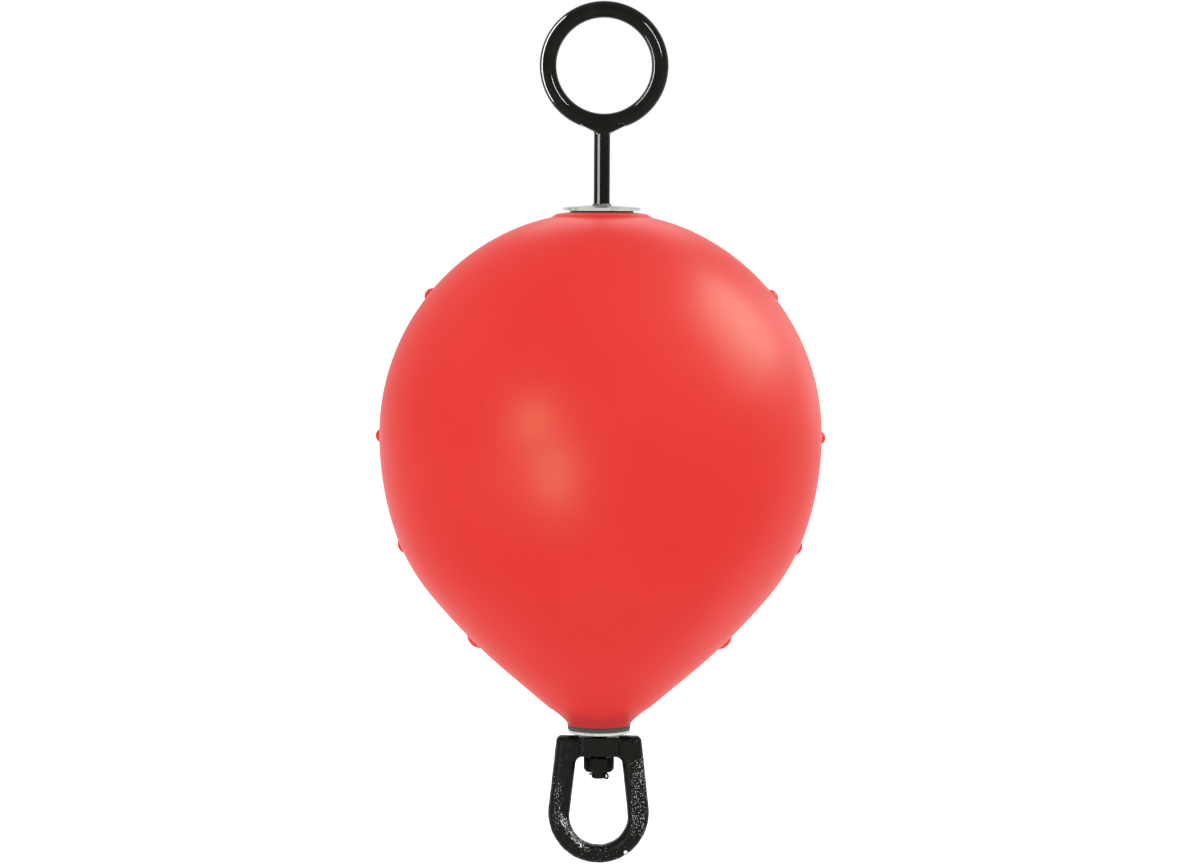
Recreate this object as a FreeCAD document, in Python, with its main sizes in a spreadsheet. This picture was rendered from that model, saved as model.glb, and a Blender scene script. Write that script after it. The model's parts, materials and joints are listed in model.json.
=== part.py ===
import FreeCAD, Part
import math
import os
import re
import Sketcher
from FreeCAD import Placement, Rotation, Vector

# Pear-shaped mooring buoy on a rigid through rod, with a welded ring above and a swivel link below.
# +Z is up, along the rod. The ring and the link lie in the XZ plane.
# The origin is on the rod's axis at the hull's widest section, where the buoy is meant to float.
# The mould's middle knobs are just below that section.

doc = FreeCAD.newDocument("mooring_buoy")

# Driving dimensions, in millimetres and degrees. A height is above the origin, a depth below it,
# and a slope is measured from the vertical.
dimensions = {
    # hull
    "hull_radius": 200.0,
    "hull_depth": 264.2,
    "hull_bore_radius": 8.3,
    "crown_radius": 179.0,
    "dome_radius": 202.0,
    "dome_slope": 65.4,
    "barrel_radius": 279.0,
    "barrel_slope": 16.5,
    "shoulder_radius": 187.0,
    "shoulder_slope": 39.5,
    "flank_radius": 569.0,
    "cone_slope": 49.5,
    "knee_radius": 46.8,
    "neck_sweep_radius": 83.0,
    "neck_radius": 29.0,
    "neck_lip": 2.0,
    # pad moulded on top of the hull, domed like all that is clamped on it
    "pad_crown_height": 202.1,
    "pad_dome_radius": 285.0,
    "pad_rim_radius": 40.8,
    "pad_foot_radius": 45.6,
    "pad_round": 1.5,
    # knobs of the mould's joint, at both sides: how far out and how high each one's centre is
    "upper_knob_reach": 152.3,
    "upper_knob_height": 124.2,
    "upper_knob_radius": 7.4,
    "middle_knob_reach": 196.6,
    "middle_knob_height": -2.0,
    "middle_knob_radius": 7.0,
    "lower_knob_reach": 174.6,
    "lower_knob_height": -100.4,
    "lower_knob_radius": 9.0,
    "tail_knob_reach": 107.5,
    "tail_knob_height": -182.3,
    "tail_knob_radius": 13.0,
    # rod, ring and their weld
    "rod_radius": 7.25,
    "rod_top_height": 280.0,
    "thread_radius": 8.0,
    "thread_depth": 240.0,
    "rod_end_depth": 313.4,
    "rod_end_radius": 6.75,
    "rod_end_chamfer": 1.0,
    "ring_height": 332.2,
    "ring_offset": 1.5,
    "ring_mean_radius": 50.4,
    "ring_bar_radius": 7.55,
    "ring_weld_radius": 22.0,
    "ring_weld_foot": 271.8,
    "ring_weld_height": 7.5,
    "ring_weld_thickness": 16.0,
    # what seals the hull round the rod
    "gasket_radius": 28.5,
    "top_gasket_thickness": 2.1,
    "top_washer_radius": 35.0,
    "top_washer_thickness": 2.6,
    "washer_weld_leg": 2.0,
    "bottom_gasket_thickness": 4.2,
    "bottom_washer_radius": 28.2,
    "bottom_washer_thickness": 2.8,
    # swivel link
    "link_top_depth": 274.4,
    "link_bend_depth": 345.1,
    "link_bend_radius": 45.9,
    "link_corner_round": 5.5,
    "link_side_slope": 6.3,
    "window_top_depth": 293.9,
    "window_bend_depth": 348.5,
    "window_bend_radius": 26.5,
    "window_corner_round": 6.5,
    "link_thickness": 18.0,
    "link_edge_round": 6.5,
    "boss_width": 36.0,
    "boss_length": 33.0,
    "boss_step": 2.2,
    "boss_round": 4.0,
    "link_bore_radius": 8.06,
    # nut and split pin that keep the link on the rod
    "nut_gap": 0.3,
    "nut_height": 13.0,
    "nut_corner_radius": 13.85,
    "nut_face_radius": 11.8,
    "nut_chamfer_height": 2.4,
    "pin_depth": 310.6,
    "pin_radius": 1.6,
    "pin_eye_radius": 2.3,
    "pin_wire_radius": 0.9,
    "pin_leg_length": 4.0,
    "pin_leg_splay": 50.0,
    "pin_turn": -45.0,
}

sheet = doc.addObject("Spreadsheet::Sheet", "Sizes")
for row, (alias, number) in enumerate(dimensions.items(), start=1):
    sheet.set(f"A{row}", alias)
    sheet.set(f"B{row}", str(number))
    sheet.setAlias(f"B{row}", alias)
doc.recompute()


def formula(expression):
    """The expression with each name of a dimension turned into a reference to its cell."""
    names = "|".join(dimensions)
    return re.sub(rf"\b({names})\b", r"Sizes.\1", expression)


def measure(expression):
    """The expression's value as a number."""
    return float(sheet.evalExpression(formula(expression)))


def bind(thing, **expressions):
    """Binds properties to expressions. Two underscores stand for a dot, as in Placement__Base__z."""
    for name, expression in expressions.items():
        thing.setExpression(name.replace("__", "."), formula(expression))


def primitive(kind, name, **expressions):
    """A Part primitive whose sizes are bound to the sheet."""
    shape = doc.addObject(kind, name)
    bind(shape, **expressions)
    return shape


def combine(kind, name, base, tool):
    """A boolean of two objects."""
    result = doc.addObject(kind, name)
    result.Base = base
    result.Tool = tool
    return result


def new_body(name):
    body = doc.addObject("PartDesign::Body", name)
    body.Label = name
    return body


def origin_plane(body, role):
    return next(plane for plane in body.Origin.OriginFeatures if plane.Role == role)


class Outline:
    """Closed loops of lines and arcs in one sketch, drawn corner by corner.

    Corners are pairs of expressions: across is along the sketch's first axis and up along its second.
    """

    def __init__(self, body, name, role="XZ_Plane"):
        self.sketch = body.newObject("Sketcher::SketchObject", name)
        self.sketch.AttachmentSupport = (origin_plane(body, role), [""])
        self.sketch.MapMode = "FlatFace"
        self.first = None
        self.last = None
        self.corner = None

    def start(self, across, up):
        self.corner = (across, up)
        self.first = None
        self.last = None

    def line(self, across, up):
        begin, end = self._ends(across, up)
        edge = self.sketch.addGeometry(Part.LineSegment(begin, end), False)
        self._join((edge, 1), (edge, 2), (across, up))

    def arc(self, across, up, radius, turn):
        """An arc of under half a turn, bending to the left or to the right of the way it is drawn."""
        begin, end = self._ends(across, up)
        side = 1 if turn == "left" else -1
        chord = end - begin
        reach = measure(radius)
        to_centre = Vector(-chord.y, chord.x, 0).normalize() * side
        centre = (begin + end) / 2 + to_centre * math.sqrt(reach**2 - (chord.Length / 2) ** 2)
        middle = centre - to_centre * reach
        edge = self.sketch.addGeometry(Part.Arc(begin, middle, end), False)
        # a sketch stores every arc anticlockwise, so one that turns right ends at its own start
        ends = (1, 2) if turn == "left" else (2, 1)
        self._join((edge, ends[0]), (edge, ends[1]), (across, up))
        self._constrain(radius, "Radius", edge)

    def close(self):
        """Joins the last edge, drawn to the first corner, to the first edge."""
        self.sketch.addConstraint(Sketcher.Constraint("Coincident", *self.last, *self.first))

    def _ends(self, across, up):
        begin = Vector(measure(self.corner[0]), measure(self.corner[1]), 0)
        return begin, Vector(measure(across), measure(up), 0)

    def _join(self, begin, end, corner):
        if self.first is None:
            self.first = begin
            self.home = self.corner
            self._place(begin, self.corner)
        else:
            self.sketch.addConstraint(Sketcher.Constraint("Coincident", *self.last, *begin))
        self.last = end
        self.corner = corner
        if corner != self.home:
            self._place(end, corner)

    def _place(self, point, corner):
        for kind, axis, expression in (("DistanceX", -2, corner[0]), ("DistanceY", -1, corner[1])):
            if expression == "0":
                self.sketch.addConstraint(Sketcher.Constraint("PointOnObject", *point, axis))
            else:
                self._constrain(expression, kind, -1, 1, *point)

    def _constrain(self, expression, kind, *where):
        index = self.sketch.addConstraint(Sketcher.Constraint(kind, *where, measure(expression)))
        self.sketch.setExpression(f"Constraints[{index}]", formula(expression))


def turn_solid(body, outline):
    """Revolves an outline round the rod's axis."""
    turned = body.newObject("PartDesign::Revolution", f"{body.Name}_turned")
    turned.Profile = outline.sketch
    turned.ReferenceAxis = (outline.sketch, ["V_Axis"])
    turned.Angle = 360.0
    outline.sketch.Visibility = False
    return turned


def height_on_dome(layer, across):
    """Height, at a distance from the axis, of one of the domes that share the pad's centre."""
    return f"pad_crown_height - pad_dome_radius + sqrt(({layer})^2 - ({across})^2)"


pad_top = "pad_dome_radius"
gasket_top = "pad_dome_radius + top_gasket_thickness"
washer_top = "pad_dome_radius + top_gasket_thickness + top_washer_thickness"
nut_top = "-window_top_depth - nut_gap"
nut_bottom = f"{nut_top} - nut_height"


def build_hull():
    """The closed plastic hull: dome, barrel, shoulder, flank, cone and neck, with its pad and knobs."""
    body = new_body("float_body")
    outline = Outline(body, "hull_outline", "YZ_Plane")
    bore_top = height_on_dome(pad_top, "hull_bore_radius")
    # the dome is flatter below dome_slope than the crown above it
    crown_across = "hull_radius - dome_radius + (dome_radius - crown_radius) * cos(dome_slope)"
    crown_up = "(dome_radius - crown_radius) * sin(dome_slope)"
    pad_foot = f"{crown_up} + sqrt(crown_radius^2 - (pad_foot_radius - ({crown_across}))^2)"
    dome_across = "hull_radius - dome_radius * (1 - cos(dome_slope))"
    outline.start("hull_bore_radius", bore_top)
    outline.arc("pad_rim_radius", height_on_dome(pad_top, "pad_rim_radius"), pad_top, "right")
    outline.line("pad_foot_radius", pad_foot)
    outline.arc(dome_across, "dome_radius * sin(dome_slope)", "crown_radius", "right")
    outline.arc("hull_radius", "0", "dome_radius", "right")
    # each arc of the side starts at the slope at which the one above it ends
    across = "hull_radius"
    up = "0"
    slope = "0"
    for radius, next_slope in (
        ("barrel_radius", "barrel_slope"),
        ("shoulder_radius", "shoulder_slope"),
        ("flank_radius", "cone_slope"),
    ):
        across += f" - {radius} * (cos({slope}) - cos({next_slope}))"
        up += f" - {radius} * (sin({next_slope}) - sin({slope}))"
        outline.arc(across, up, radius, "right")
        slope = next_slope
    outline.line("knee_radius", f"{up} - ({across} - knee_radius) / tan(cone_slope)")
    outline.arc("neck_radius", "neck_lip - hull_depth", "neck_sweep_radius", "left")
    outline.line("neck_radius", "-hull_depth")
    outline.line("hull_bore_radius", "-hull_depth")
    outline.line("hull_bore_radius", bore_top)
    outline.close()
    turn_solid(body, outline)
    doc.recompute()

    round_off(body, "pad_edges", "pad_round", is_pad_edge)

    knobs = []
    for level in ("upper", "middle", "lower", "tail"):
        knob = body.newObject("PartDesign::AdditiveSphere", f"{level}_knob")
        bind(
            knob,
            Radius=f"{level}_knob_radius",
            Placement__Base__x=f"{level}_knob_reach",
            Placement__Base__z=f"{level}_knob_height",
        )
        knobs.append(knob)
    doc.recompute()
    opposite = body.newObject("PartDesign::Mirrored", "opposite_knobs")
    opposite.Originals = knobs
    opposite.MirrorPlane = (origin_plane(body, "YZ_Plane"), [""])
    body.Tip = opposite
    return body


def is_pad_edge(edge):
    """Whether an edge is the circle at the pad's rim or at its foot."""
    radius = edge.BoundBox.XLength / 2
    return edge.BoundBox.ZLength < 0.01 and any(
        abs(radius - measure(name)) < 0.01 for name in ("pad_rim_radius", "pad_foot_radius")
    )


def build_ring():
    """The mooring ring, a closed round bar, welded on a little to one side of the rod's axis."""
    ring = primitive("Part::Torus", "top_ring", Radius1="ring_mean_radius", Radius2="ring_bar_radius")
    ring.Placement = Placement(Vector(), Rotation(Vector(1, 0, 0), 90))
    bind(ring, Placement__Base__x="ring_offset", Placement__Base__z="ring_height")
    return ring


def build_rod(ring):
    """The rod, cut to the ring's bar above, threaded below and turned down at the end for the split pin."""
    body = new_body("rod_blank")
    outline = Outline(body, "rod_outline")
    outline.start("0", "rod_top_height")
    outline.line("rod_radius", "rod_top_height")
    outline.line("rod_radius", "-thread_depth")
    outline.line("thread_radius", "-thread_depth")
    outline.line("thread_radius", nut_bottom)
    outline.line("rod_end_radius", nut_bottom)
    outline.line("rod_end_radius", "rod_end_chamfer - rod_end_depth")
    outline.line("rod_end_radius - rod_end_chamfer", "-rod_end_depth")
    outline.line("0", "-rod_end_depth")
    outline.line("0", "rod_top_height")
    outline.close()
    turn_solid(body, outline)
    saddled = combine("Part::Cut", "saddled_rod", body, ring)
    drill = primitive("Part::Cylinder", "pin_hole", Radius="pin_radius", Height="thread_radius * 4")
    lay_across_rod(drill, "-thread_radius * 2")
    return body, combine("Part::Cut", "through_rod", saddled, drill)


def lay_across_rod(cylinder, start):
    """Lays a cylinder level across the rod's end at the split pin's turn, from a distance along it."""
    cylinder.Placement = Placement(Vector(), Rotation(measure("pin_turn"), 90, 0))
    bind(
        cylinder,
        Placement__Base__x=f"({start}) * cos(pin_turn)",
        Placement__Base__y=f"({start}) * sin(pin_turn)",
        Placement__Base__z="-pin_depth",
    )


def build_ring_weld(ring, rod_body):
    """The weld between the rod and the ring, flared along the ring and about as thick as its bar."""
    flare = primitive(
        "Part::Cone",
        "weld_flare",
        Radius1="rod_radius",
        Radius2="ring_weld_radius",
        Height="ring_weld_height",
        Placement__Base__x="ring_offset",
        Placement__Base__z="ring_weld_foot",
    )
    slab = primitive(
        "Part::Box",
        "weld_slab",
        Length="ring_weld_radius * 4",
        Width="ring_weld_thickness",
        Height="ring_weld_height",
        Placement__Base__x="-ring_weld_radius * 2",
        Placement__Base__y="-ring_weld_thickness / 2",
        Placement__Base__z="ring_weld_foot",
    )
    flat_flare = combine("Part::Common", "flat_flare", flare, slab)
    under_ring = combine("Part::Cut", "flare_under_ring", flat_flare, ring)
    return combine("Part::Cut", "ring_weld", under_ring, rod_body)


def build_washer_weld():
    """The bead that welds the top washer to the rod."""
    body = new_body("washer_weld")
    toe = "rod_radius + washer_weld_leg"
    throat = height_on_dome(washer_top, "rod_radius")
    outline = Outline(body, "bead_outline")
    outline.start("rod_radius", throat)
    outline.arc(toe, height_on_dome(washer_top, toe), washer_top, "right")
    outline.line("rod_radius", f"{throat} + washer_weld_leg")
    outline.line("rod_radius", throat)
    outline.close()
    turn_solid(body, outline)
    return body


def build_dished_plate(name, rim, low_layer, high_layer):
    """A round plate on the rod that follows the pad's dome."""
    body = new_body(name)
    outline = Outline(body, f"{name}_outline")
    outline.start("rod_radius", height_on_dome(low_layer, "rod_radius"))
    outline.arc(rim, height_on_dome(low_layer, rim), low_layer, "right")
    outline.line(rim, height_on_dome(high_layer, rim))
    outline.arc("rod_radius", height_on_dome(high_layer, "rod_radius"), high_layer, "left")
    outline.line("rod_radius", height_on_dome(low_layer, "rod_radius"))
    outline.close()
    turn_solid(body, outline)
    return body


def build_flat_plate(name, rim, top, bottom):
    """A flat round plate on the rod's thread."""
    body = new_body(name)
    outline = Outline(body, f"{name}_outline")
    outline.start("thread_radius", bottom)
    outline.line(rim, bottom)
    outline.line(rim, top)
    outline.line("thread_radius", top)
    outline.line("thread_radius", bottom)
    outline.close()
    turn_solid(body, outline)
    return body


def draw_stirrup(outline, top_depth, bend_depth, bend_radius):
    """A loop with a flat top, sides that lean out as they go down, and a round bottom tangent to them."""
    side = f"{bend_radius} * cos(link_side_slope)"
    side_up = f"{bend_radius} * sin(link_side_slope) - {bend_depth}"
    corner = f"{side} + ({side_up} + {top_depth}) * tan(link_side_slope)"
    outline.start(f"-({corner})", f"-{top_depth}")
    outline.line(corner, f"-{top_depth}")
    outline.line(side, side_up)
    outline.arc("0", f"-{bend_depth} - {bend_radius}", bend_radius, "right")
    outline.arc(f"-({side})", side_up, bend_radius, "right")
    outline.line(f"-({corner})", f"-{top_depth}")
    outline.close()


def build_link():
    """The swivel link: a forged stirrup whose head has a thick boss round the rod."""
    body = new_body("swivel_link")
    outline = Outline(body, "link_outline")
    draw_stirrup(outline, "link_top_depth", "link_bend_depth", "link_bend_radius")
    draw_stirrup(outline, "window_top_depth", "window_bend_depth", "window_bend_radius")
    plate = body.newObject("PartDesign::Pad", "link_plate")
    plate.Profile = outline.sketch
    plate.Midplane = True
    bind(plate, Length="link_thickness")
    doc.recompute()

    round_off(body, "head_corners", "link_corner_round", lambda edge: is_corner(edge, "link_top_depth"))
    round_off(body, "eye_corners", "window_corner_round", lambda edge: is_corner(edge, "window_top_depth"))
    round_off(body, "stirrup_edges", "link_edge_round", is_on_link_face)

    boss = body.newObject("PartDesign::AdditiveBox", "boss")
    bind(
        boss,
        Length="boss_width",
        Width="boss_length",
        Height="window_top_depth - link_top_depth - boss_step",
        Placement__Base__x="-boss_width / 2",
        Placement__Base__y="-boss_length / 2",
        Placement__Base__z="boss_step - window_top_depth",
    )
    doc.recompute()
    round_off(body, "boss_corners", "boss_round", is_boss_corner)

    bore = body.newObject("PartDesign::SubtractiveCylinder", "rod_bore")
    bind(
        bore,
        Radius="link_bore_radius",
        Height="window_top_depth - link_top_depth + 2",
        Placement__Base__z="-window_top_depth - 1",
    )
    body.Tip = bore
    return body


def round_off(body, name, radius, wanted):
    """Fillets the edges of the body so far that are wanted."""
    base = body.Tip
    edges = [f"Edge{number}" for number, edge in enumerate(base.Shape.Edges, start=1) if wanted(edge)]
    fillet = body.newObject("PartDesign::Fillet", name)
    fillet.Base = (base, edges)
    bind(fillet, Radius=radius)
    body.Tip = fillet
    doc.recompute()


def is_corner(edge, depth):
    """Whether an edge runs through the link's thickness at that depth."""
    box = edge.BoundBox
    return box.YLength > measure("link_thickness") - 0.01 and abs(box.Center.z + measure(depth)) < 0.01


def is_on_link_face(edge):
    """Whether an edge lies in the link's front or back face."""
    box = edge.BoundBox
    return box.YLength < 0.01 and abs(abs(box.Center.y) - measure("link_thickness / 2")) < 0.01


def is_boss_corner(edge):
    """Whether an edge is an upright corner of the boss."""
    middle = edge.BoundBox.Center
    return (
        abs(abs(middle.x) - measure("boss_width / 2")) < 0.01
        and abs(abs(middle.y) - measure("boss_length / 2")) < 0.01
    )


def build_nut():
    """The hexagonal nut under the link, its lower corners turned down."""
    hexagon = primitive(
        "Part::Prism",
        "nut_hexagon",
        Circumradius="nut_corner_radius",
        Height="nut_height",
        Placement__Base__z=nut_bottom,
    )
    hexagon.Polygon = 6
    blank = new_body("nut_blank")
    outline = Outline(blank, "nut_outline")
    outline.start("thread_radius", nut_top)
    outline.line("nut_corner_radius", nut_top)
    outline.line("nut_corner_radius", f"{nut_bottom} + nut_chamfer_height")
    outline.line("nut_face_radius", nut_bottom)
    outline.line("thread_radius", nut_bottom)
    outline.line("thread_radius", nut_top)
    outline.close()
    turn_solid(blank, outline)
    return combine("Part::Common", "end_nut", hexagon, blank)


def build_split_pin():
    """The split pin through the rod's end: shank, eye and two splayed legs."""
    exit_reach = "rod_end_radius + pin_wire_radius / 2"
    shank = primitive("Part::Cylinder", "pin_shank", Radius="pin_radius", Height=f"2 * ({exit_reach})")
    lay_across_rod(shank, f"-({exit_reach})")
    eye = primitive("Part::Torus", "pin_eye", Radius1="pin_eye_radius", Radius2="pin_wire_radius")
    eye.Placement = Placement(Vector(), Rotation(measure("pin_turn"), 0, 90))
    bind(
        eye,
        Placement__Base__x=f"({exit_reach} + pin_eye_radius) * cos(pin_turn)",
        Placement__Base__y=f"({exit_reach} + pin_eye_radius) * sin(pin_turn)",
        Placement__Base__z="-pin_depth",
    )
    pieces = [shank, eye]
    for side in (-1, 1):
        name = "left_leg" if side < 0 else "right_leg"
        leg = primitive("Part::Cylinder", name, Radius="pin_wire_radius", Height="pin_leg_length")
        leg.Placement = Placement(Vector(), Rotation(measure(f"pin_turn + {side} * pin_leg_splay"), -90, 0))
        bind(
            leg,
            Placement__Base__x="-rod_end_radius * cos(pin_turn)",
            Placement__Base__y="-rod_end_radius * sin(pin_turn)",
            Placement__Base__z="-pin_depth",
        )
        pieces.append(leg)
    pin = doc.addObject("Part::MultiFuse", "split_pin")
    pin.Shapes = pieces
    return pin


hull = build_hull()
top_ring = build_ring()
rod_blank, rod = build_rod(top_ring)
hull_base = "-hull_depth"
gasket_base = f"{hull_base} - bottom_gasket_thickness"
washer_base = f"{gasket_base} - bottom_washer_thickness"
subparts = [
    hull,
    top_ring,
    rod,
    build_ring_weld(top_ring, rod_blank),
    build_washer_weld(),
    build_dished_plate("top_washer", "top_washer_radius", gasket_top, washer_top),
    build_dished_plate("top_gasket", "gasket_radius", pad_top, gasket_top),
    build_flat_plate("bottom_gasket", "gasket_radius", hull_base, gasket_base),
    build_flat_plate("bottom_washer", "bottom_washer_radius", gasket_base, washer_base),
    build_link(),
    build_nut(),
    build_split_pin(),
]
doc.recompute()

failed = [thing.Name for thing in doc.Objects if "Invalid" in thing.State or "Error" in thing.State]
if failed:
    raise RuntimeError(f"these objects failed to build: {failed}")
for subpart in subparts:
    if subpart.Shape.isNull() or not subpart.Shape.isValid() or len(subpart.Shape.Solids) != 1:
        raise RuntimeError(f"{subpart.Label} isn't one valid solid")

os.makedirs("parts", exist_ok=True)
for subpart in subparts:
    subpart.Shape.exportStep(f"parts/{subpart.Label}.step")
    box = subpart.Shape.optimalBoundingBox(False, False)
    reach = max(box.XMax, -box.XMin)
    print(f"{subpart.Label:14} z {box.ZMin:7.1f} to {box.ZMax:6.1f}  reach {reach:6.1f}")
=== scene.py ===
import json
import math
import bmesh
import bpy
from mathutils import Matrix, Vector, noise

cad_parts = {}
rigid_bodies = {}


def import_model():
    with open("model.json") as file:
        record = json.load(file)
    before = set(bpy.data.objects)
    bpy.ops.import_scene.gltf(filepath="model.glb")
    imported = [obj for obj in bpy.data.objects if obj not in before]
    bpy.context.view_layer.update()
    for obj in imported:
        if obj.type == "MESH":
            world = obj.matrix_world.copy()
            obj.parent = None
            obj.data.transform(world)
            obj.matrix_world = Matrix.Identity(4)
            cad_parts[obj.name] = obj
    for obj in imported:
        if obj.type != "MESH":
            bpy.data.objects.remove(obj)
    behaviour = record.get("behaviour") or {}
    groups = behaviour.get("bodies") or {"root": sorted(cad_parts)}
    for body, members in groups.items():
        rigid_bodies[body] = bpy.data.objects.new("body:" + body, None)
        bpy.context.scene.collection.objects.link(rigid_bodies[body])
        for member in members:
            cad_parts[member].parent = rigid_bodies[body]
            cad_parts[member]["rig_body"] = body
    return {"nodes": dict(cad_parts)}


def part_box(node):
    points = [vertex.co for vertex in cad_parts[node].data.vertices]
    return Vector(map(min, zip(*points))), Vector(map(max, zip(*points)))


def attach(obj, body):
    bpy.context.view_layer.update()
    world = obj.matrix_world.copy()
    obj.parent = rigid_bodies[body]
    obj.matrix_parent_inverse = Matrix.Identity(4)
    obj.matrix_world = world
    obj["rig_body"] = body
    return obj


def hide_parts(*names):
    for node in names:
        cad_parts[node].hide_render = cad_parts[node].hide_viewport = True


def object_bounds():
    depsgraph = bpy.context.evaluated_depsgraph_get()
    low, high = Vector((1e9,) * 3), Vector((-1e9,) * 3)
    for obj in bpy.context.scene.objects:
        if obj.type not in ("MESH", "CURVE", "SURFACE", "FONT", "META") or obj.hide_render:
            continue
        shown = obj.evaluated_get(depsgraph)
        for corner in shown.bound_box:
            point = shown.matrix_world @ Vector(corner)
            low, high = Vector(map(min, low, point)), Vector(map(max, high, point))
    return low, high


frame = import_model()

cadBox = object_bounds()
upward = Vector((0, 0, 1))
print("frame loaded")


class Value:
    # a socket that can be used in sums and products, each of which adds a Math node
    def __init__(self, nodes, socket):
        self.nodes = nodes
        self.socket = socket

    def maths(self, operation, first, second):
        return self.nodes.add("Math", {"operation": operation}, {0: first, 1: second})

    def __add__(self, other):
        return self.maths("ADD", self, other)

    def __mul__(self, other):
        return self.maths("MULTIPLY", self, other)

    def __sub__(self, other):
        return self.maths("SUBTRACT", self, other)

    def __rsub__(self, other):
        return self.maths("SUBTRACT", other, self)

    __radd__ = __add__
    __rmul__ = __mul__


class Nodes:
    # the node tree of one material, or of the world
    def __init__(self, tree):
        self.tree = tree
        tree.nodes.clear()

    def add(self, kind, settings=None, sockets=None, output=0):
        node = self.tree.nodes.new("ShaderNode" + kind)
        for name, setting in (settings or {}).items():
            setattr(node, name, setting)
        for name, value in (sockets or {}).items():
            if isinstance(value, Value):
                self.tree.links.new(value.socket, node.inputs[name])
            else:
                node.inputs[name].default_value = value
        return Value(self, node.outputs[output]) if node.outputs else None


def place(nodes):
    return nodes.add("TexCoord", output="Object")


def along(nodes, axis):
    return nodes.add("SeparateXYZ", sockets={0: place(nodes)}, output=axis)


def distanceFrom(nodes, spot):
    return nodes.add("VectorMath", {"operation": "DISTANCE"}, {0: place(nodes), 1: spot}, "Value")


def grain(nodes, spec):
    # cloudy noise from 0 to 1, so many features to a metre
    stretch = spec.get("stretch", (1, 1, 1))
    where = nodes.add("Mapping", sockets={"Vector": place(nodes), "Scale": stretch})
    return nodes.add("TexNoise", sockets={"Vector": where, "Scale": spec["perMetre"],
                                          "Detail": spec["detail"]})


def fade(nodes, value, start, end):
    # 0 up to start and 1 from end on, where end may be the smaller of the two
    return nodes.add("MapRange", {"interpolation_type": "SMOOTHSTEP"},
                     {"Value": value, "From Min": start, "From Max": end})


def patches(nodes, spec):
    # noise made into soft-edged patches
    return fade(nodes, grain(nodes, spec), *spec["edge"])


def mixColour(nodes, factor, first, second):
    return nodes.add("Mix", {"data_type": "RGBA"}, {0: factor, 6: first, 7: second}, 2)


def bump(nodes, height, depth, under=None):
    sockets = {"Height": height, "Distance": depth, "Strength": 1.0}
    if under:
        sockets["Normal"] = under
    return nodes.add("Bump", sockets=sockets)


def relief(nodes, spec, under=None):
    return bump(nodes, grain(nodes, spec), spec["depth"], under)


def surface(name, build):
    # a material whose Principled sockets are what build returns
    material = bpy.data.materials.new(name)
    material.use_nodes = True
    nodes = Nodes(material.node_tree)
    shader = nodes.add("BsdfPrincipled", sockets=build(nodes))
    nodes.add("OutputMaterial", sockets={"Surface": shader})
    return material


redPlastic = {
    "colour": (0.742, 0.036, 0.031, 1),
    "faded": (0.765, 0.045, 0.039, 1),
    # painted shade: the darker red of the neck above its gasket
    "shadedNeck": (0.50, 0.034, 0.034, 1),
    "specular": 0.055,
    "specularTint": (0.2, 1.0, 0.55, 1),  # so that the shine on the red looks warm
    "roughness": 0.38,
    "scuffed": 0.50,
    "cloudRoughness": 0.04,
    "clouds": {"perMetre": 7, "detail": 3, "edge": (0.35, 0.68)},
    "scuffs": {"perMetre": 260, "detail": 3, "edge": (0.62, 0.74), "stretch": (1, 1, 0.12)},
    "scuffedAreas": {"perMetre": 11, "detail": 2, "edge": (0.5, 0.66)},
    "cloudFade": 0.7,
    "scuffFade": 0.3,
    "neckShadeHeights": (-0.240, -0.262),  # where the painted shade starts on the neck, and where it is full
    "peel": {"perMetre": 900, "detail": 2, "depth": 0.00003},
    "waves": {"perMetre": 14, "detail": 1, "depth": 0.0006},
}


def buildRedPlastic(nodes):
    cloud = patches(nodes, redPlastic["clouds"])
    scuff = patches(nodes, redPlastic["scuffs"]) * patches(nodes, redPlastic["scuffedAreas"])
    fading = cloud * redPlastic["cloudFade"] + scuff * redPlastic["scuffFade"]
    clean = mixColour(nodes, fading, redPlastic["colour"], redPlastic["faded"])
    # painted shade: the neck is darker red towards the bottom, where it meets its gasket
    neckShade = fade(nodes, along(nodes, "Z"), *redPlastic["neckShadeHeights"])
    roughening = scuff * (redPlastic["scuffed"] - redPlastic["roughness"])
    peel = relief(nodes, redPlastic["peel"])
    return {
        "Base Color": mixColour(nodes, neckShade, clean, redPlastic["shadedNeck"]),
        "Specular IOR Level": redPlastic["specular"],
        "Specular Tint": redPlastic["specularTint"],
        "Roughness": redPlastic["roughness"] + cloud * redPlastic["cloudRoughness"] + roughening,
        "Normal": relief(nodes, redPlastic["waves"], peel),
    }


glossBlack = {
    "colour": (0.0042, 0.0045, 0.0026, 1),
    "dusty": (0.0072, 0.0075, 0.0052, 1),
    "specular": 0.10,
    "roughness": 0.07,
    "dullRoughness": 0.11,
    "dust": {"perMetre": 60, "detail": 4, "edge": (0.45, 0.75)},
    "sags": {"perMetre": 55, "detail": 1, "depth": 0.00006},
}


def buildGlossBlack(nodes):
    dust = patches(nodes, glossBlack["dust"])
    dulling = dust * (glossBlack["dullRoughness"] - glossBlack["roughness"])
    return {
        "Base Color": mixColour(nodes, dust, glossBlack["colour"], glossBlack["dusty"]),
        "Specular IOR Level": glossBlack["specular"],
        "Roughness": glossBlack["roughness"] + dulling,
        "Normal": relief(nodes, glossBlack["sags"]),
    }


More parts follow.
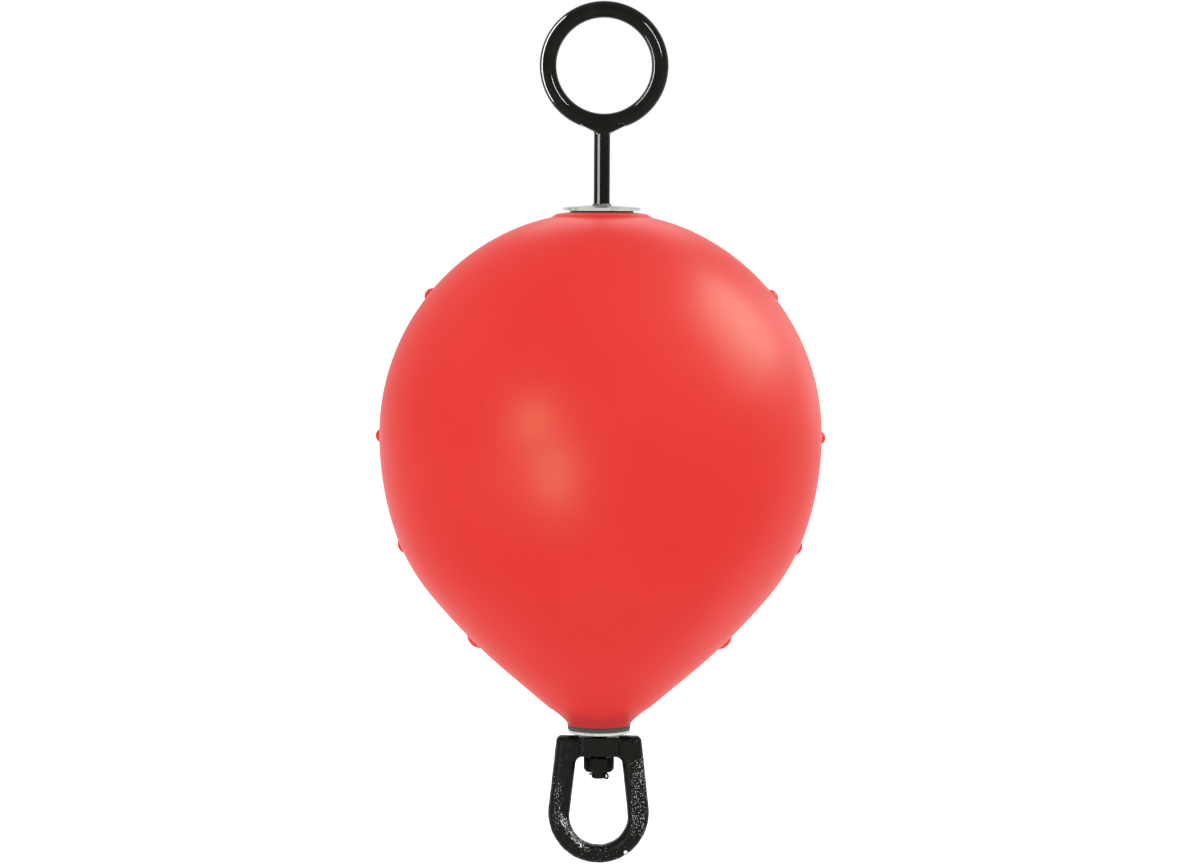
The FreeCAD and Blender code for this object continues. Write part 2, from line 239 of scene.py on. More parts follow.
castBlack = {
    "colour": (0.0042, 0.0045, 0.0026, 1),
    "worn": (0.0075, 0.0078, 0.0055, 1),
    # painted glints: the near-white colour of the specks that stand for glints of light on the
    # casting
    "glintColour": (0.88, 0.98, 0.92, 1),
    "specular": 0.10,
    "roughness": 0.20,
    "dullRoughness": 0.40,
    "grain": {"perMetre": 620, "detail": 2, "depth": 0.00040},
    "lumps": {"perMetre": 150, "detail": 3, "depth": 0.0006},
    "patches": {"perMetre": 70, "detail": 3, "edge": (0.40, 0.62)},
    "smoothGrain": 0.45,  # how much of the grain is left between the patches
    "headGrain": 0.12,  # how much of the grain is left on the head
    "headDepths": (0.014, 0.034),  # where the head passes into the legs, below its top
    "wornPeaks": (0.60, 0.78),  # how high in the grain the paint starts to wear, and is worn
    "bend": (0, 0, -0.3451),  # the middle of the link's round bend
    "glintShares": {  # how strongly each place has painted glints, and where it starts and is full, in metres
        "rightLeg": (0.72, (("across", 0.027, 0.031), ("across", 0.046, 0.041),
                            ("height", -0.284, -0.298), ("height", -0.374, -0.362))),
        "inBend": (1.02, (("fromBend", 0.027, 0.031), ("fromBend", 0.038, 0.034),
                          ("across", -0.004, -0.018), ("height", -0.338, -0.356))),
        "leftLeg": (0.71, (("across", -0.030, -0.035), ("across", -0.044, -0.039),
                           ("height", -0.302, -0.318), ("height", -0.366, -0.352))),
        "under": (0.42, (("height", -0.370, -0.378), ("across", 0.034, 0.024),
                         ("across", -0.026, -0.016))),
    },
    # painted glint: one larger spot near the outer edge of the bend
    "glintSpot": {"centre": (0.0245, -0.0065, -0.3800), "edge": (0.0044, 0.0038), "ragged": 0.004,
             "glintShares": 2},
    "glintSpecks": {"perMetre": 1000, "detail": 1, "edge": (0.57, 0.61),
               "gain": 0.25},  # how strongly the glint places bring out the painted glint specks
}


def findGlintPlaces(nodes, height, fine):
    # the places given painted glints on the legs and the bend, and one larger spot of painted
    # glint under the bend
    where = {"height": height, "across": along(nodes, "X"),
             "fromBend": distanceFrom(nodes, castBlack["bend"])}
    masks = [math.prod(fade(nodes, where[kind], start, end) for kind, start, end in edges) * share
             for share, edges in castBlack["glintShares"].values()]
    glintSpot = castBlack["glintSpot"]
    reach = distanceFrom(nodes, glintSpot["centre"]) + fine * glintSpot["ragged"]
    return sum(masks) + fade(nodes, reach, *glintSpot["edge"]) * glintSpot["glintShares"]


def buildCastBlack(nodes):
    # the casting is rough on the legs and smoother on the head, where the mould was dressed
    height = along(nodes, "Z")
    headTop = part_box("swivel_link")[1].z
    legs = fade(nodes, height, *[headTop - depth for depth in castBlack["headDepths"]])
    onLegs = castBlack["headGrain"] + legs * (1 - castBlack["headGrain"])
    fine = grain(nodes, castBlack["grain"])
    patch = patches(nodes, castBlack["patches"])
    coarse = grain(nodes, castBlack["lumps"]) * onLegs
    lumps = bump(nodes, coarse, castBlack["lumps"]["depth"])
    inPatches = castBlack["smoothGrain"] + patch * (1 - castBlack["smoothGrain"])
    peaks = fade(nodes, fine, *castBlack["wornPeaks"]) * patch
    paint = mixColour(nodes, peaks, castBlack["colour"], castBlack["worn"])
    # painted glints: near-white specks in the paint's colour, thickest in the places above
    gain = (findGlintPlaces(nodes, height, fine) - 1) * castBlack["glintSpecks"]["gain"]
    glintSpecks = fade(nodes, grain(nodes, castBlack["glintSpecks"]) + gain, *castBlack["glintSpecks"]["edge"])
    dulling = (1 - patch) * (castBlack["dullRoughness"] - castBlack["roughness"])
    return {
        # painted glints mixed into the base colour
        "Base Color": mixColour(nodes, glintSpecks, paint, castBlack["glintColour"]),
        "Specular IOR Level": castBlack["specular"],
        "Roughness": castBlack["roughness"] + dulling,
        "Normal": bump(nodes, fine * onLegs * inPatches, castBlack["grain"]["depth"], lumps),
    }


zinc = {
    "colour": (0.53, 0.57, 0.52, 1),
    "dull": (0.36, 0.41, 0.37, 1),
    "metallic": 0.85,
    "roughness": 0.34,
    "stainRoughness": 0.25,
    "spangleRoughness": 0.1,
    "stains": {"perMetre": 95, "detail": 4, "edge": (0.50, 0.72)},
    "spanglesPerMetre": 420.0,
    "spangleDepth": 0.00004,
}


def buildZinc(nodes):
    spangle = nodes.add("TexVoronoi",
                        sockets={"Vector": place(nodes), "Scale": zinc["spanglesPerMetre"]})
    stain = patches(nodes, zinc["stains"])
    roughening = stain * zinc["stainRoughness"]
    return {
        "Base Color": mixColour(nodes, stain, zinc["colour"], zinc["dull"]),
        "Metallic": zinc["metallic"],
        "Roughness": zinc["roughness"] + roughening + spangle * zinc["spangleRoughness"],
        "Normal": bump(nodes, spangle, zinc["spangleDepth"]),
    }


weldMetal = {
    "colour": (0.42, 0.36, 0.34, 1),
    "burnt": (0.09, 0.075, 0.07, 1),
    "metallic": 0.6,
    "roughness": 0.42,
    "burntRoughness": 0.2,
    "burns": {"perMetre": 330, "detail": 3, "edge": (0.42, 0.66)},
    "ripples": {"perMetre": 700, "detail": 2, "depth": 0.0003},
}


def buildWeldMetal(nodes):
    burn = patches(nodes, weldMetal["burns"])
    return {
        "Base Color": mixColour(nodes, burn, weldMetal["colour"], weldMetal["burnt"]),
        "Metallic": weldMetal["metallic"],
        "Roughness": weldMetal["roughness"] + burn * weldMetal["burntRoughness"],
        "Normal": relief(nodes, weldMetal["ripples"]),
    }


rubber = {
    "colour": (0.016, 0.018, 0.017, 1),
    "chalky": (0.050, 0.056, 0.052, 1),
    # painted light: the lighter grey of the bottom gasket's lower band
    "litBand": (0.052, 0.049, 0.038, 1),
    "litBandHeights": (-0.2644, -0.2656),  # painted light: the gasket below these is lighter, as though lit, and above them stays dark, as though in shade under the neck
    "roughness": 0.62,
    "chalkRoughness": 0.2,
    "chalk": {"perMetre": 180, "detail": 4, "edge": (0.45, 0.75)},
    "grain": {"perMetre": 1500, "detail": 2, "depth": 0.00008},
}


def buildRubber(nodes):
    chalk = patches(nodes, rubber["chalk"])
    dry = mixColour(nodes, chalk, rubber["colour"], rubber["chalky"])
    # painted light and shade: lighter below, darker above where shade falls under the neck
    litBandShare = fade(nodes, along(nodes, "Z"), *rubber["litBandHeights"])
    return {
        "Base Color": mixColour(nodes, litBandShare, dry, rubber["litBand"]),
        "Roughness": rubber["roughness"] + chalk * rubber["chalkRoughness"],
        "Normal": relief(nodes, rubber["grain"]),
    }


redFinish = surface("redPlastic", buildRedPlastic)
glossFinish = surface("glossBlack", buildGlossBlack)
castFinish = surface("castBlack", buildCastBlack)
zincFinish = surface("zinc", buildZinc)
weldFinish = surface("weldMetal", buildWeldMetal)
rubberFinish = surface("rubber", buildRubber)
print("finishes ready")


meshing = {
    "doubles": 0.000001,  # points nearer than this become one, in metres
    "onPlane": 0.0000001,  # points nearer to a cut than this count as on it
    "onRing": 0.00001,  # how far off its radius or height a ring's point may be
    "ringAngle": 0.15,  # edges flatter than this aren't rounded, in radians
    "crease": 40,  # edges sharper than this stay sharp, in degrees
    "softCrease": 60,
    "cylinderSides": 64,
}


def allParts(mesh):
    return mesh.verts[:] + mesh.edges[:] + mesh.faces[:]


def arcTo(mesh, tip, centre, degrees, span):
    # carries the end of an outline along an arc, clockwise as seen from the front
    length = abs(math.radians(degrees)) * (tip.co - centre).length
    turned = bmesh.ops.spin(mesh, geom=[tip], cent=centre, axis=(0, 1, 0),
                            angle=math.radians(degrees), steps=max(2, math.ceil(length / span)),
                            use_duplicate=False)
    return next(item for item in turned["geom_last"] if isinstance(item, bmesh.types.BMVert))


def lineTo(mesh, tip, across, up):
    point = bmesh.ops.extrude_vert_indiv(mesh, verts=[tip])["verts"][0]
    point.co = (across, 0, up)
    return point


def turnRound(mesh, steps):
    # turns an outline all the way round the rod's axis
    bmesh.ops.spin(mesh, geom=allParts(mesh), cent=(0, 0, 0), axis=upward, angle=math.tau,
                   steps=steps, use_merge=True, use_duplicate=False)
    bmesh.ops.remove_doubles(mesh, verts=mesh.verts, dist=meshing["doubles"])
    bmesh.ops.recalc_face_normals(mesh, faces=mesh.faces)


def addCylinder(mesh, radius, depth, middle):
    cylinder = bmesh.ops.create_cone(mesh, cap_ends=True, segments=meshing["cylinderSides"],
                                     radius1=radius, radius2=radius, depth=depth)["verts"]
    bmesh.ops.translate(mesh, verts=cylinder, vec=(0, 0, middle))


def roundRings(mesh, radius, size, segments):
    # rounds the sharp circular edges at one distance from the axis
    rings = [edge for edge in mesh.edges
             if all(abs(vert.co.xy.length - radius) < meshing["onRing"] for vert in edge.verts)
             and abs(edge.verts[0].co.z - edge.verts[1].co.z) < meshing["onRing"]
             and edge.calc_face_angle(0) > meshing["ringAngle"]]
    bmesh.ops.bevel(mesh, geom=rings, offset=size, segments=segments, profile=0.5,
                    affect="EDGES", material=-1)


def addObject(name, mesh):
    data = bpy.data.meshes.new(name)
    mesh.to_mesh(data)
    mesh.free()
    made = bpy.data.objects.new(name, data)
    bpy.context.scene.collection.objects.link(made)
    return made


def finishPiece(name, mesh, nodeNames, finish, crease=meshing["crease"]):
    # makes the piece that is shown in place of its CAD nodes
    piece = addObject(name, mesh)
    piece.data.shade_smooth()
    piece.data.set_sharp_from_angle(angle=math.radians(crease))
    piece.data.materials.append(finish)
    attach(piece, frame["nodes"][nodeNames[0]]["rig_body"])
    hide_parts(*nodeNames)
    print(f"{name}: {sum(len(face.vertices) - 2 for face in piece.data.polygons)} triangles")
    return piece


hull = {
    "radius": 0.2,
    "boreRadius": 0.0083,
    "crownRadius": 0.179,
    "domeRadius": 0.202,
    "domeSlope": 65.4,  # degrees above level at which the dome passes into the crown
    "sideArcs": ((0.279, 16.5), (0.187, 39.5), (0.569, 49.5)),  # radius, degrees from upright
    "kneeRadius": 0.0468,  # where the straight side passes into the sweep of the neck
    "kneeSteps": 8,
    "neckSweep": 0.083,
    "neckRadius": 0.029,
    "neckLip": 0.002,
    "neckRound": 0.0005,
    "neckSegments": 2,
    "padDome": 0.285,
    "padCrown": 0.2021,
    "padRim": 0.0408,
    "padFoot": 0.0456,
    "padRound": 0.0015,
    "padSegments": 4,
    "roundSteps": 256,
    "span": 0.005,  # how long the steps along an arc may be
    "bandCuts": (-2, -1, -0.5, 0.5, 1, 2),  # in half widths of a hoop or seam
    "bandCrest": 0.3,  # how far from its middle a band is lifted, as a share of its width
    "hoopWidth": 0.0034,
    "hoopRise": 0.00003,
    "seamWidth": 0.0022,
    "seamRise": 0.00005,
    "knobs": (  # distance out, height and radius of each
        (0.1523, 0.1242, 0.0074),
        (0.1966, -0.002, 0.007),
        (0.1746, -0.1004, 0.009),
        (0.1075, -0.1823, 0.013),
    ),
    "knobMargin": 0.0055,  # how far past a knob the mesh is made finer
    "knobCuts": 6,
    "knobFoot": 0.0015,  # how far past a knob its foot is softened
    "knobRounds": 2,
    "knobSoftness": 0.5,
}


def drawHull(mesh):
    # the hull's outline, from the bore in the pad round the outside to the bore in the neck
    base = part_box("float_body")[0].z
    padCentre = Vector((0, 0, hull["padCrown"] - hull["padDome"]))
    domeCentre = Vector((hull["radius"] - hull["domeRadius"], 0, 0))
    domeSlope = math.radians(hull["domeSlope"])
    atJoint = Vector((math.cos(domeSlope), 0, math.sin(domeSlope)))
    crownCentre = domeCentre + (hull["domeRadius"] - hull["crownRadius"]) * atJoint
    boreAngle = math.asin(hull["boreRadius"] / hull["padDome"])
    rimAngle = math.asin(hull["padRim"] / hull["padDome"])
    footAngle = math.asin((hull["padFoot"] - crownCentre.x) / hull["crownRadius"])
    footHeight = crownCentre.z + hull["crownRadius"] * math.cos(footAngle)
    crownTurn = 90 - hull["domeSlope"] - math.degrees(footAngle)

    atBore = Vector((math.sin(boreAngle), 0, math.cos(boreAngle)))
    first = mesh.verts.new(padCentre + hull["padDome"] * atBore)
    tip = arcTo(mesh, first, padCentre, math.degrees(rimAngle - boreAngle), hull["span"])
    tip = lineTo(mesh, tip, hull["padFoot"], footHeight)
    tip = arcTo(mesh, tip, crownCentre, crownTurn, hull["span"])
    tip = arcTo(mesh, tip, domeCentre, hull["domeSlope"], hull["span"])
    slope = 0
    for radius, nextSlope in hull["sideArcs"]:
        bearing = math.radians(slope)
        centre = tip.co - radius * Vector((math.cos(bearing), 0, -math.sin(bearing)))
        tip = arcTo(mesh, tip, centre, nextSlope - slope, hull["span"])
        slope = nextSlope
    drop = (tip.co.x - hull["kneeRadius"]) / math.tan(math.radians(slope))
    start = tip.co.copy()
    for step in range(hull["kneeSteps"]):
        part = (step + 1) / hull["kneeSteps"]
        across = start.x + (hull["kneeRadius"] - start.x) * part
        tip = lineTo(mesh, tip, across, start.z - drop * part)

    # the neck's sweep is hollow, so its centre lies outside the hull
    chord = Vector((hull["neckRadius"], 0, base + hull["neckLip"])) - tip.co
    outward = Vector((-chord.z, 0, chord.x)).normalized()
    half = chord.length / 2
    centre = tip.co + chord / 2 + outward * math.sqrt(hull["neckSweep"] ** 2 - half ** 2)
    sweepTurn = -2 * math.degrees(math.asin(half / hull["neckSweep"]))
    tip = arcTo(mesh, tip, centre, sweepTurn, hull["span"])
    tip = lineTo(mesh, tip, hull["neckRadius"], base)
    tip = lineTo(mesh, tip, hull["boreRadius"], base)
    mesh.edges.new((tip, first))


def raiseBand(mesh, axis, middle, width, rise, distanceOut):
    # lifts the skin a little where it crosses a plane, outside the knee: axis 1 is Y and 2 is Z
    normal = [0, 0, 0]
    normal[axis] = 1
    for part in hull["bandCuts"]:
        point = [0, 0, 0]
        point[axis] = middle + part * width / 2
        bmesh.ops.bisect_plane(mesh, geom=allParts(mesh), dist=meshing["onPlane"],
                               plane_co=point, plane_no=normal)
    mesh.normal_update()
    for vert in mesh.verts:
        inBand = abs(vert.co[axis] - middle) < width * hull["bandCrest"]
        if inBand and distanceOut(vert.co) > hull["kneeRadius"]:
            vert.co += vert.normal * rise


def raiseHoopsAndSeam(mesh):
    # the mould's joints: a hoop round the hull at each row of knobs, and a seam up each side
    for _, height, _ in hull["knobs"]:
        raiseBand(mesh, 2, height, hull["hoopWidth"], hull["hoopRise"], lambda co: co.xy.length)
    raiseBand(mesh, 1, 0, hull["seamWidth"], hull["seamRise"], lambda co: abs(co.x))


def raiseKnob(mesh, centre, size):
    # swells the skin out to a dome, and softens its foot
    for vert in mesh.verts:
        away = vert.co - centre
        if away.length < size:
            vert.co = centre + away.normalized() * size
    near = [vert for vert in mesh.verts if (vert.co - centre).length < size + hull["knobFoot"]]
    for _ in range(hull["knobRounds"]):
        bmesh.ops.smooth_vert(mesh, verts=near, factor=hull["knobSoftness"],
                              use_axis_x=True, use_axis_y=True, use_axis_z=True)


def makeHull():
    mesh = bmesh.new()
    drawHull(mesh)
    turnRound(mesh, hull["roundSteps"])
    roundRings(mesh, hull["padRim"], hull["padRound"], hull["padSegments"])
    roundRings(mesh, hull["padFoot"], hull["padRound"], hull["padSegments"])
    roundRings(mesh, hull["neckRadius"], hull["neckRound"], hull["neckSegments"])
    knobs = [(Vector((side * reach, 0, height)), size)
             for side in (-1, 1) for reach, height, size in hull["knobs"]]
    for centre, size in knobs:
        margin = size + hull["knobMargin"]
        near = [edge for edge in mesh.edges
                if all((vert.co - centre).length < margin for vert in edge.verts)]
        bmesh.ops.subdivide_edges(mesh, edges=near, cuts=hull["knobCuts"], use_grid_fill=True)
    raiseHoopsAndSeam(mesh)
    for centre, size in knobs:
        raiseKnob(mesh, centre, size)
    piece = finishPiece("floatBody", mesh, ["float_body"], redFinish)
    piece.visible_glossy = False  # so that the black paint and the plating don't turn red


makeHull()


plates = {
    "topWasher": {"node": "top_washer", "slot": "bright_steel", "finish": zincFinish,
                  "inner": 0.00725, "rim": 0.035, "thickness": 0.0026, "round": 0.0005,
                  "dished": True},
    "topGasket": {"node": "top_gasket", "slot": "black_rubber", "finish": rubberFinish,
                  "inner": 0.00725, "rim": 0.0285, "thickness": 0.0021, "round": 0.0004,
                  "dished": True},
    "bottomGasket": {"node": "bottom_gasket", "slot": "black_rubber", "finish": rubberFinish,
                     "inner": 0.008, "rim": 0.0285, "thickness": 0.0042, "round": 0.0008,
                     "dished": False},
    "bottomWasher": {"node": "bottom_washer", "slot": "bright_steel", "finish": zincFinish,
                     "inner": 0.008, "rim": 0.0282, "thickness": 0.0028, "round": 0.0005,
                     "dished": False},
}
plateMesh = {"roundSteps": 96, "span": 0.005, "rimSegments": 3}


def makePlate(name, plate):
    mesh = bmesh.new()
    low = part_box(plate["node"])[0].z
    if plate["dished"]:
        # its rim is the lowest place, and it follows a dome round the pad's centre
        centre = Vector((0, 0, hull["padCrown"] - hull["padDome"]))
        domeRadius = math.hypot(plate["rim"], low - centre.z)
        start = math.asin(plate["inner"] / domeRadius)
        end = math.asin(plate["rim"] / domeRadius)
        tip = mesh.verts.new(centre + domeRadius * Vector((math.sin(start), 0, math.cos(start))))
        arcTo(mesh, tip, centre, math.degrees(end - start), plateMesh["span"])
    else:
        tip = mesh.verts.new((plate["inner"], 0, low))
        lineTo(mesh, tip, plate["rim"], low)
    turnRound(mesh, plateMesh["roundSteps"])
    upper = bmesh.ops.extrude_face_region(mesh, geom=mesh.faces[:])["geom"]
    bmesh.ops.translate(mesh, vec=upward * plate["thickness"],
                        verts=[item for item in upper if isinstance(item, bmesh.types.BMVert)])
    bmesh.ops.recalc_face_normals(mesh, faces=mesh.faces)
    roundRings(mesh, plate["rim"], plate["round"], plateMesh["rimSegments"])
    finishPiece(name, mesh, [plate["node"]], plate["finish"])


for plateName, plateSpec in plates.items():
    makePlate(plateName, plateSpec)


rod = {
    "radius": 0.00725,
    "threadRadius": 0.008,
    "pitch": 0.002,
    "threadHeight": 0.00123,
    "threadTop": -0.262,
    "flankStart": 0.15,  # this and the next two are shares of the pitch, down one turn of thread
    "crestStart": 0.5,
    "crestEnd": 0.65,
    "spareTurns": 2,  # cut off again at the two ends
    "turnSteps": 40,
    "doubles": 0.00001,
    "onPlane": 0.000001,
    "endRadius": 0.00675,
    "endChamfer": 0.001,
    "overlap": 0.001,  # how far the plain rod reaches into the thread
    "topInWeld": 0.0755,  # from the top of the hull's pad up into the ring's weld
}


def windThread(mesh, end):
    root = rod["threadRadius"] - rod["threadHeight"]
    turns = math.ceil((rod["threadTop"] - end) / rod["pitch"]) + rod["spareTurns"]
    top = rod["threadTop"] + rod["pitch"]
    tip = mesh.verts.new((root, 0, top))
    # one turn of thread: the root, a flank, the crest and the other flank
    for across, drop in ((root, rod["flankStart"]), (rod["threadRadius"], rod["crestStart"]),
                         (rod["threadRadius"], rod["crestEnd"]), (root, 1)):
        tip = lineTo(mesh, tip, across, top - drop * rod["pitch"])
    bmesh.ops.spin(mesh, geom=allParts(mesh), cent=(0, 0, 0), axis=-upward,
                   dvec=-upward * rod["pitch"] / rod["turnSteps"], angle=math.tau * turns,
                   steps=rod["turnSteps"] * turns, use_duplicate=False)
    bmesh.ops.remove_doubles(mesh, verts=mesh.verts, dist=rod["doubles"])
    for height, normal in ((rod["threadTop"], upward), (end, -upward)):
        cut = bmesh.ops.bisect_plane(mesh, geom=allParts(mesh), dist=rod["onPlane"],
                                     plane_co=(0, 0, height), plane_no=normal, clear_outer=True)
        rim = [item for item in cut["geom_cut"]
               if isinstance(item, bmesh.types.BMEdge) and item.is_boundary]
        bmesh.ops.edgeloop_fill(mesh, edges=rim)


def makeRod():
    mesh = bmesh.new()
    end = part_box("through_rod")[0].z
    windThread(mesh, end)
    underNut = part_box("end_nut")[0].z
    for vert in mesh.verts:
        # the end is turned down below the nut, and chamfered
        limit = rod["threadRadius"] if vert.co.z > underNut else rod["endRadius"]
        if vert.co.z < end + rod["endChamfer"]:
            limit = rod["endRadius"] - rod["endChamfer"] + vert.co.z - end
        if vert.co.xy.length > limit:
            vert.co.xy *= limit / vert.co.xy.length
    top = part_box("float_body")[1].z + rod["topInWeld"]
    addCylinder(mesh, rod["radius"], top - rod["threadTop"] + rod["overlap"],
                (top + rod["threadTop"] - rod["overlap"]) / 2)
    bmesh.ops.recalc_face_normals(mesh, faces=mesh.faces)
    finishPiece("throughRod", mesh, ["through_rod"], glossFinish)


makeRod()


softened = {
    "topRing": {"nodes": ["top_ring", "ring_weld"], "slot": "black_paint",
                "finish": glossFinish, "grid": 0.00055, "rounds": 30,
                "lumpHeight": 0.00004, "lumpsPerMetre": 35},
    "swivelLink": {"nodes": ["swivel_link"], "slot": "link_paint",
                   "finish": castFinish, "grid": 0.0007, "rounds": 5,
                   "lumpHeight": 0.00025, "lumpsPerMetre": 120},
    "endNut": {"nodes": ["end_nut"], "slot": "link_paint",
               "finish": castFinish, "grid": 0.0003, "rounds": 4,
               "lumpHeight": 0, "lumpsPerMetre": 0},
    "splitPin": {"nodes": ["split_pin"], "slot": "link_paint",
                 "finish": castFinish, "grid": 0.00018, "rounds": 3,
                 "lumpHeight": 0, "lumpsPerMetre": 0},
    "washerWeld": {"nodes": ["washer_weld"], "slot": "bright_steel",
                   "finish": weldFinish, "grid": 0.0003, "rounds": 2,
                   "lumpHeight": 0.0004, "lumpsPerMetre": 420},
}
lumpShape = {"falloff": 0.6, "gap": 2.0, "octaves": 3}  # the lumps' noise
ringWeld = {
    "stubLength": 0.005,  # how much longer than the weld the rod's stub in it is
    "start": 26,  # degrees from the foot of the ring over which the weld's softness fades out
    "end": 32,
}
linkBore = {
    "bottom": -0.300,  # the head is above this
    "clear": 0.0084,  # the radius that is kept clear for the rod
    "reach": 0.0095,  # no lumps nearer to the axis than this
    "smoothReach": 0.020,  # full lumps from here
}


def limited(share):
    return min(max(share, 0), 1)


def remeshed(mesh, spec):
    # runs the voxel remesh and a smooth over a mesh, and gives back the result
    scratch = addObject("scratch", mesh)
    grid = scratch.modifiers.new("grid", "REMESH")
    grid.mode = "VOXEL"
    grid.voxel_size = spec["grid"]
    soften = scratch.modifiers.new("soften", "SMOOTH")
    soften.iterations = spec["rounds"]
    shown = scratch.evaluated_get(bpy.context.evaluated_depsgraph_get())
    result = bmesh.new()
    result.from_mesh(shown.to_mesh())
    shown.to_mesh_clear()
    data = scratch.data
    bpy.data.objects.remove(scratch)
    bpy.data.meshes.remove(data)
    return result


def addStub(mesh):
    # the top of the rod, so that the weld's metal runs into it
    low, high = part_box("ring_weld")
    addCylinder(mesh, rod["radius"], high.z - low.z + ringWeld["stubLength"],
                (high.z + low.z) / 2)


def trueRing(mesh):
    # past the weld, the ring is a true round bar
    low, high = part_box("top_ring")
    centre = (low + high) / 2
    bar = (high.y - low.y) / 2
    for vert in mesh.verts:
        flat = Vector((vert.co.x - centre.x, 0, vert.co.z - centre.z))
        spine = centre + flat.normalized() * ((high.x - low.x) / 2 - bar)
        angle = math.degrees(flat.angle(-upward))
        exact = spine + (vert.co - spine).normalized() * bar
        share = limited((angle - ringWeld["start"]) / (ringWeld["end"] - ringWeld["start"]))
        vert.co = vert.co.lerp(exact, share)


def headLumps(co):
    # the head stays true round the rod, so that it turns freely
    if co.z <= linkBore["bottom"]:
        return 1
    fadeWidth = linkBore["smoothReach"] - linkBore["reach"]
    return limited((co.xy.length - linkBore["reach"]) / fadeWidth)


def clearBore(mesh):
    for vert in mesh.verts:
        out = vert.co.xy.length
        if vert.co.z > linkBore["bottom"] and out < linkBore["clear"]:
            vert.co.xy *= linkBore["clear"] / out


def makeSoftened(name, spec):
    mesh = bmesh.new()
    for node in spec["nodes"]:
        mesh.from_mesh(frame["nodes"][node].data)
    bmesh.ops.remove_doubles(mesh, verts=mesh.verts, dist=meshing["doubles"])
    if name == "topRing":
        addStub(mesh)
    mesh = remeshed(mesh, spec)
    if name == "topRing":
        trueRing(mesh)
    mesh.normal_update()
    for vert in mesh.verts:
        height = spec["lumpHeight"]
        if name == "swivelLink":
            height *= headLumps(vert.co)
        lump = noise.fractal(vert.co * spec["lumpsPerMetre"], lumpShape["falloff"],
                             lumpShape["gap"], lumpShape["octaves"])
        vert.co += vert.normal * height * lump
    if name == "swivelLink":
        clearBore(mesh)
    finishPiece(name, mesh, spec["nodes"], spec["finish"], meshing["softCrease"])


for softName, softSpec in softened.items():
    makeSoftened(softName, softSpec)


studio = {
    "floorGap": 0.25,  # how far the floor lies below the link
    "floorSize": 60,
    "floorColour": (0.92, 0.92, 0.92, 1),
    "floorLift": 0.4,  # glow that makes up what the floor lacks to white
    "plainLight": 1.14,  # the room's light on matt surfaces, where the camera sees it as 1
    "openBeam": 180,
}

# where each lamp hangs, seen from the origin: degrees to the right of the front, degrees up and
# metres away. A lamp points at the origin or at its aim, its beam is how many degrees wide its
# light spreads, and a level of 1 is as bright as a white wall
lamps = {
    "upperRight": {"bearing": 101, "rise": 37, "away": 2.2, "width": 1.35, "height": 1.3,
                   "level": 30, "only": ["floatBody"]},
    "rimRight": {"bearing": 141, "rise": 12, "away": 2.4, "width": 0.7, "height": 1.1,
                 "level": 2.5, "only": ["floatBody"]},
    "lowRight": {"bearing": 124, "rise": -35, "away": 2.2, "width": 1.6, "height": 1.2,
                 "level": 1.1, "only": ["floatBody"]},
    "overhead": {"bearing": 178, "rise": 34, "away": 2.6, "width": 1.3, "height": 0.5,
                 "level": 3.3, "only": ["floatBody"]},
    "upperLeft": {"bearing": -33, "rise": 9, "away": 1.8, "width": 0.44, "height": 0.44,
                  "aim": (-0.065, -0.188, 0.025), "beam": 13,
                  "level": 1.5, "only": ["floatBody"]},
    "lowerLeft": {"bearing": -22, "rise": -13, "away": 1.8, "width": 0.44, "height": 0.44,
                  "aim": (-0.035, -0.195, -0.030), "beam": 13,
                  "level": 1.7, "only": ["floatBody"]},
    "frontLeft": {"bearing": -23, "rise": 0, "away": 1.7, "width": 0.42, "height": 0.85,
                  "turn": 22, "level": 9, "only": ["swivelLink"]},
    "leftStrip": {"bearing": -90, "rise": 16, "away": 1.2, "width": 0.36, "height": 2.3,
                  "level": 100, "only": ["topRing"]},
    "frontRight": {"bearing": 30, "rise": 27, "away": 2.0, "width": 0.22, "height": 0.62,
                   "turn": 26, "level": 150, "only": ["topRing"]},
    "rodStrip": {"bearing": -48, "rise": 7, "away": 2.0, "width": 1.25, "height": 1.0,
                 "level": 48, "only": ["throughRod"]},
    "glint": {"bearing": 42, "rise": 28, "away": 2.0, "width": 0.40, "height": 0.40,
              "level": 30, "only": ["swivelLink", "endNut", "splitPin"]},
}


def shownRays(nodes):
    # 1 for what the camera sees, straight or by way of gloss or glass
    rays = [nodes.add("LightPath", output=f"Is {kind} Ray")
            for kind in ("Camera", "Glossy", "Transmission")]
    return rays[0] + rays[1] + rays[2]


def makeFloor():
    material = bpy.data.materials.new("paleFloor")
    material.use_nodes = True
    nodes = Nodes(material.node_tree)
    matt = nodes.add("BsdfDiffuse", sockets={"Color": studio["floorColour"]})
    glow = nodes.add("Emission", sockets={"Strength": shownRays(nodes) * studio["floorLift"]})
    pale = nodes.add("AddShader", sockets={0: matt, 1: glow})
    nodes.add("OutputMaterial", sockets={"Surface": pale})
    mesh = bmesh.new()
    bmesh.ops.create_grid(mesh, x_segments=2, y_segments=2, size=studio["floorSize"] / 2)
    bmesh.ops.translate(mesh, verts=mesh.verts, vec=(0, 0, cadBox[0].z - studio["floorGap"]))
    floor = addObject("floor", mesh)
    floor.data.materials.append(material)


def makeWorld():
    world = bpy.data.worlds.new("paleStudio")
    bpy.context.scene.world = world
    world.use_nodes = True
    nodes = Nodes(world.node_tree)
    level = studio["plainLight"] + shownRays(nodes) * (1 - studio["plainLight"])
    sky = nodes.add("Background", sockets={"Color": (1, 1, 1, 1), "Strength": level})
    nodes.add("OutputWorld", sockets={"Surface": sky})


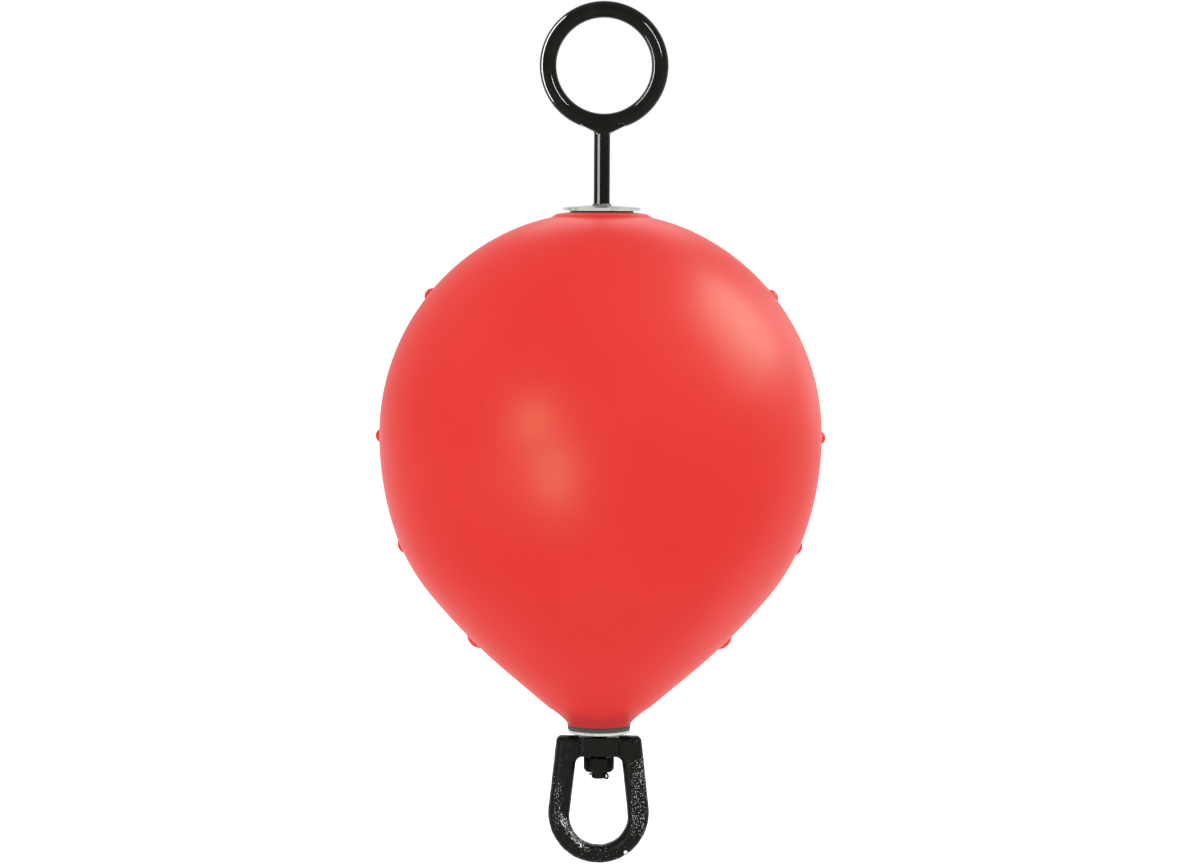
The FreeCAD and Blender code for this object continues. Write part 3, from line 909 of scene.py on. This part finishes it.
def towards(bearing, rise):
    turn, tilt = math.radians(bearing), math.radians(rise)
    return Vector((math.sin(turn) * math.cos(tilt), -math.cos(turn) * math.cos(tilt),
                   math.sin(tilt)))


def turnToFace(thing, spot, roll):
    # points a lamp or camera at a spot, and rolls it by some degrees
    look = (thing.location - Vector(spot)).to_track_quat("Z", "Y").to_matrix()
    rolled = look @ Matrix.Rotation(math.radians(roll), 3, "Z")
    thing.rotation_euler = rolled.to_euler()


def makeLamp(name, lamp):
    light = bpy.data.lights.new(name, "AREA")
    light.shape = "RECTANGLE"
    light.size = lamp["width"]
    light.size_y = lamp["height"]
    light.energy = lamp["level"] * math.pi * lamp["width"] * lamp["height"]
    light.spread = math.radians(lamp.get("beam", studio["openBeam"]))
    lampObject = bpy.data.objects.new(name, light)
    lampObject.location = towards(lamp["bearing"], lamp["rise"]) * lamp["away"]
    turnToFace(lampObject, lamp.get("aim", (0, 0, 0)), lamp.get("turn", 0))
    lampObject.visible_camera = False
    lampObject.visible_diffuse = False  # the even light of the room gives the colours
    bpy.context.scene.collection.objects.link(lampObject)
    lit = bpy.data.collections.new(name + "Lit")
    for pieceName in lamp["only"]:
        lit.objects.link(bpy.data.objects[pieceName])
    lampObject.light_linking.receiver_collection = lit
    lampObject.light_linking.blocker_collection = lit


cameraSpot = {
    "away": 3.17,
    "height": 0.207,
    "aim": (-0.0005, 0, 0.0022),
    "roll": 0.30,
    "lens": 105.3,
    "sensor": 36,
    "farthest": 100,
}


def makeCamera():
    lens = bpy.data.cameras.new("camera")
    lens.lens = cameraSpot["lens"]
    lens.sensor_width = cameraSpot["sensor"]
    lens.clip_end = cameraSpot["farthest"]
    camera = bpy.data.objects.new("camera", lens)
    camera.location = (0, -cameraSpot["away"], cameraSpot["height"])
    turnToFace(camera, cameraSpot["aim"], cameraSpot["roll"])
    bpy.context.scene.collection.objects.link(camera)
    bpy.context.scene.camera = camera


makeFloor()
makeWorld()
for lampName, lampSpec in lamps.items():
    makeLamp(lampName, lampSpec)
makeCamera()
bpy.context.scene.view_settings.view_transform = "Standard"
print("studio ready")
